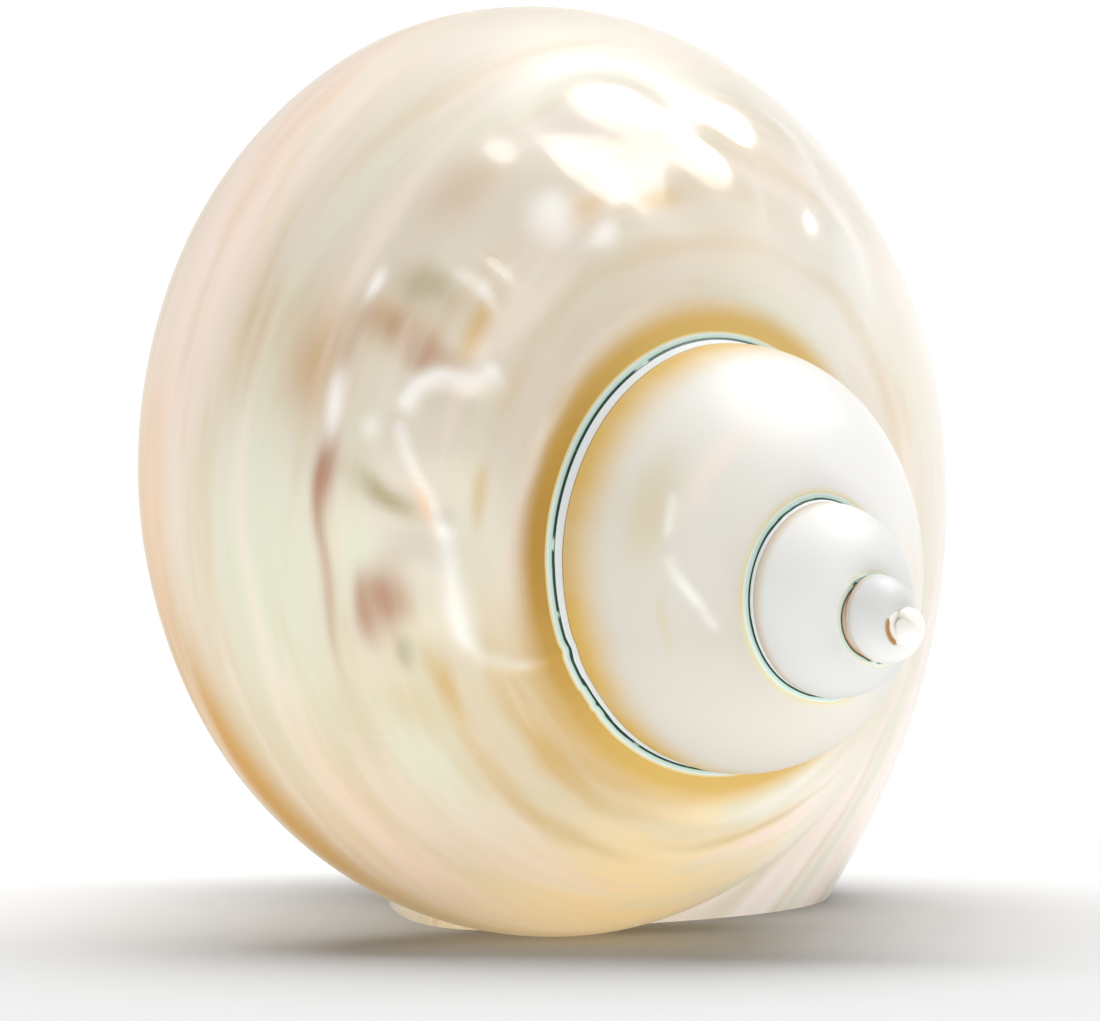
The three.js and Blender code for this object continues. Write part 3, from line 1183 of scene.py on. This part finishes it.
    def suture_distance(
        self,
        mesh: bpy.types.Mesh,
        points: np.ndarray,
        middle: np.ndarray,
        face_turn: np.ndarray,
        owner: np.ndarray,
    ) -> np.ndarray:
        """Measures how far each vertex lies from the nearest suture, the line where two whorls meet.

        Args:
            mesh: the finished mesh.
            points: its vertices, in the coil's own axes.
            middle: the middles of its faces.
            face_turn: the angle along the coil of each face.
            owner: the face of each face corner.

        Returns:
            Distance of each vertex.
        """
        used = read(mesh.loops, "edge_index", int)
        ends = read(mesh.edges, "vertices", int, 2)
        first = np.zeros(len(ends), int)
        second = np.zeros(len(ends), int)
        first[used] = owner
        second[used[::-1]] = owner[::-1]
        swapped = face_turn[first] > face_turn[second]
        early = np.where(swapped, second, first)
        late = np.where(swapped, first, second)
        _, across, share = self.coil.locate(middle, face_turn)
        met = np.abs(face_turn[late] - face_turn[early] - 2 * math.pi) < self.suture_slack
        met &= (np.abs(across[late]) < self.suture_reach) & (np.abs(across[early] - 1) < self.suture_reach)
        met &= np.minimum(share[late], share[early]) > self.inside_share
        start, end = points[ends[met, 0]], points[ends[met, 1]]
        steps = np.linspace(0, 1, self.suture_steps)[:, None, None]
        line = (start + steps * (end - start)).reshape(-1, 3)
        tree = KDTree(len(line))
        for index, point in enumerate(line.tolist()):
            tree.insert(point, index)
        tree.balance()
        return np.array([tree.find(point)[2] for point in points.tolist()])

    def turn_of(self, points: np.ndarray) -> np.ndarray:
        """Finds the angle along the coil of points on its surface.

        Args:
            points: places in the coil's own axes.

        Returns:
            The angle of the whorl whose outline is nearest.
        """
        best = np.full(len(points), np.inf)
        found = np.zeros(len(points))
        for half in range(*self.half_turns):
            turn, across, share = self.coil.locate(points, np.full(len(points), math.pi * half))
            open_turn = turn < self.coil.mouth_turn + self.mouth_rounding + self.mouth_slack
            miss = np.abs(share - 1 - self.relief.swell(turn, across))
            miss = np.where(open_turn & (across > self.hidden_across), miss, np.inf)
            closer = miss < best
            best = np.where(closer, miss, best)
            found = np.where(closer, turn, found)
        return found

    def dress(self, shell: Piece) -> None:
        """Smooths the shell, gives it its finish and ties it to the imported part.

        Args:
            shell: the finished mesh.
        """
        mesh = shell.data
        mesh.shade_smooth()
        mesh.set_sharp_from_angle(angle=self.crease_angle)
        self.mark_places(shell)
        mesh.materials.clear()
        mesh.materials.append(self.finish.material())
        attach(shell, "root")
        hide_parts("shell")


@dataclass(frozen=True)
class Softbox:
    """One soft light, placed by its direction from the shell.

    Azimuth and elevation are in degrees, and azimuth counts from the camera to the right.
    """

    name: str
    azimuth: float
    elevation: float
    distance: float
    width: float
    height: float
    glow: float
    falls_on: Lit = Lit.SHELL
    lighting: bool = True
    mirrored: bool = False
    lamp: Lamp = Lamp.DISC

    def build(self, aim: Vector, shell: Piece, floor: Piece) -> Piece:
        """Builds the light.

        Args:
            aim: the point that it faces.
            shell: the shell, which stands in the way of every light.
            floor: the floor under it.

        Returns:
            The light.
        """
        azimuth, elevation = math.radians(self.azimuth), math.radians(self.elevation)
        level = math.cos(elevation)
        away = Vector((math.sin(azimuth) * level, -math.cos(azimuth) * level, math.sin(elevation)))
        lamp = bpy.data.lights.new(self.name, self.lamp.value)
        if self.lamp is Lamp.BALL:
            lamp.shadow_soft_size = self.width / 2
            lamp.energy = self.glow * 4 * math.pi * self.distance**2
        else:
            lamp.shape = "ELLIPSE"
            lamp.size = self.width
            lamp.size_y = self.height
            lamp.energy = self.glow * math.pi * self.width * self.height
        made = bpy.data.objects.new(self.name, lamp)
        made.visible_diffuse = self.lighting
        made.visible_glossy = self.mirrored
        lit = bpy.data.collections.new(f"lit_by_{self.name}")
        lit.objects.link(shell if self.falls_on is Lit.SHELL else floor)
        made.light_linking.receiver_collection = lit
        shading = bpy.data.collections.new(f"shades_{self.name}")
        shading.objects.link(shell)
        made.light_linking.blocker_collection = shading
        made.location = aim + away * self.distance
        made.rotation_euler = away.to_track_quat("Z", "Y").to_euler()
        bpy.context.scene.collection.objects.link(made)
        return made


@dataclass
class Studio:
    """Pale floor, soft light all round, a few softboxes and the camera of the photograph."""

    floor_radius: float = 0.22
    floor_sides: int = 128
    floor_colour: tuple[float, float, float] = (0.5, 0.5, 0.5)
    horizon_strength: float = 1.05
    horizon_height: float = 0.1
    ceiling_strength: float = 0.34
    ceiling_height: float = 0.4
    camera_elevation: float = math.radians(2.2)
    camera_distance: float = 0.580
    camera_near: float = 0.01
    apex_right: float = 20.45 * MM
    apex_up: float = -7.30 * MM
    focal_pixels: float = 10000.0
    sensor_width: float = 36.0
    aim: tuple[float, float, float] = (0.0, -10.0 * MM, 28.0 * MM)
    softboxes: tuple[Softbox, ...] = (
        Softbox("window", 120.0, 50.0, 0.5, 0.38, 0.34, 2.2),
        Softbox("gleam", 122.0, 52.0, 0.5, 0.4, 0.36, 4.5, lighting=False, mirrored=True),
        Softbox("top_fill", 180.0, 80.0, 0.7, 1.1, 1.1, 1.35),
        Softbox("left_fill", -62.0, 16.0, 0.7, 0.3, 0.5, 0.5),
        Softbox("front_fill", -5.0, 3.0, 0.7, 0.6, 0.14, 1.3),
        Softbox("under_left", -55.0, -38.0, 0.6, 0.1, 0.1, 0.22, lamp=Lamp.BALL),
        Softbox("under_front_left", -20.0, -32.0, 0.6, 0.1, 0.1, 0.24, lamp=Lamp.BALL),
        Softbox("under_middle", 10.0, -62.0, 0.6, 0.1, 0.1, 0.6, lamp=Lamp.BALL),
        Softbox("under_front_right", 28.0, -34.0, 0.6, 0.1, 0.1, 0.3, lamp=Lamp.BALL),
        Softbox("under_right", 65.0, -40.0, 0.6, 0.1, 0.1, 0.35, lamp=Lamp.BALL),
        Softbox("floor_wash", 180.0, 68.0, 0.7, 1.0, 1.0, 4.0, Lit.FLOOR),
    )

    def floor(self) -> Piece:
        """Makes the round floor, which isn't part of the shell.

        Returns:
            The floor.
        """
        bpy.ops.mesh.primitive_circle_add(
            vertices=self.floor_sides, radius=self.floor_radius, fill_type="NGON"
        )
        made = bpy.context.object
        made.name = "studio_floor"
        finish = bpy.data.materials.new("floor_paint")
        finish.use_nodes = True
        shader = finish.node_tree.nodes["Principled BSDF"]
        shader.inputs["Base Color"].default_value = (*self.floor_colour, 1.0)
        shader.inputs["Roughness"].default_value = 1.0
        shader.inputs["Specular IOR Level"].default_value = 0.0
        made.data.materials.append(finish)
        return made

    def sky(self) -> None:
        """Sets a white surround that is brightest near the horizon."""
        world = bpy.data.worlds.new("studio_surround")
        world.use_nodes = True
        tree = world.node_tree
        shader = tree.nodes["Background"]
        shader.inputs["Color"].default_value = (1.0, 1.0, 1.0, 1.0)
        ways = tree.nodes.new("ShaderNodeTexCoord")
        parts = tree.nodes.new("ShaderNodeSeparateXYZ")
        fade = tree.nodes.new("ShaderNodeMapRange")
        fade.interpolation_type = "SMOOTHSTEP"
        fade.inputs["From Min"].default_value = self.horizon_height
        fade.inputs["From Max"].default_value = self.ceiling_height
        fade.inputs["To Min"].default_value = self.horizon_strength
        fade.inputs["To Max"].default_value = self.ceiling_strength
        tree.links.new(ways.outputs["Generated"], parts.inputs[0])
        tree.links.new(parts.outputs["Z"], fade.inputs["Value"])
        tree.links.new(fade.outputs["Result"], shader.inputs["Strength"])
        bpy.context.scene.world = world
        bpy.context.scene.view_settings.view_transform = "Standard"

    def camera(self, coil: Coil) -> Piece:
        """Places the camera by the apex of the shell.

        Args:
            coil: the coil whose apex the camera is set by.

        Returns:
            The camera.
        """
        lens = bpy.data.cameras.new("photo_camera")
        lens.sensor_width = self.sensor_width
        lens.lens = self.sensor_width * self.focal_pixels / PHOTO_WIDTH
        lens.clip_start = self.camera_near
        right = Vector((1, 0, 0))
        up = Vector((0, math.sin(self.camera_elevation), math.cos(self.camera_elevation)))
        back = right.cross(up)
        apex = Vector(coil.apex_place)
        place = apex - right * self.apex_right - up * self.apex_up + back * self.camera_distance
        made = bpy.data.objects.new("photo_camera", lens)
        made.matrix_world = Matrix.Translation(place) @ Matrix((right, up, back)).transposed().to_4x4()
        bpy.context.scene.collection.objects.link(made)
        bpy.context.scene.camera = made
        return made

    def build(self, coil: Coil, shell: Piece) -> None:
        """Sets up the camera, the surround, the floor and the lights.

        Args:
            coil: the coil whose apex the camera is set by.
            shell: the shell that the lights fall on.
        """
        self.camera(coil)
        self.sky()
        floor = self.floor()
        for softbox in self.softboxes:
            softbox.build(Vector(self.aim), shell, floor)


def main() -> None:
    """Builds the shell and the studio around it."""
    logging.basicConfig(level=logging.INFO, format="%(name)s: %(message)s")
    shell = TurbanShell()
    piece = shell.build()
    shell.dress(piece)
    log.info("%s: %d faces", piece.name, len(piece.data.polygons))
    Studio().build(shell.coil, piece)


if __name__ == "__main__":
    main()
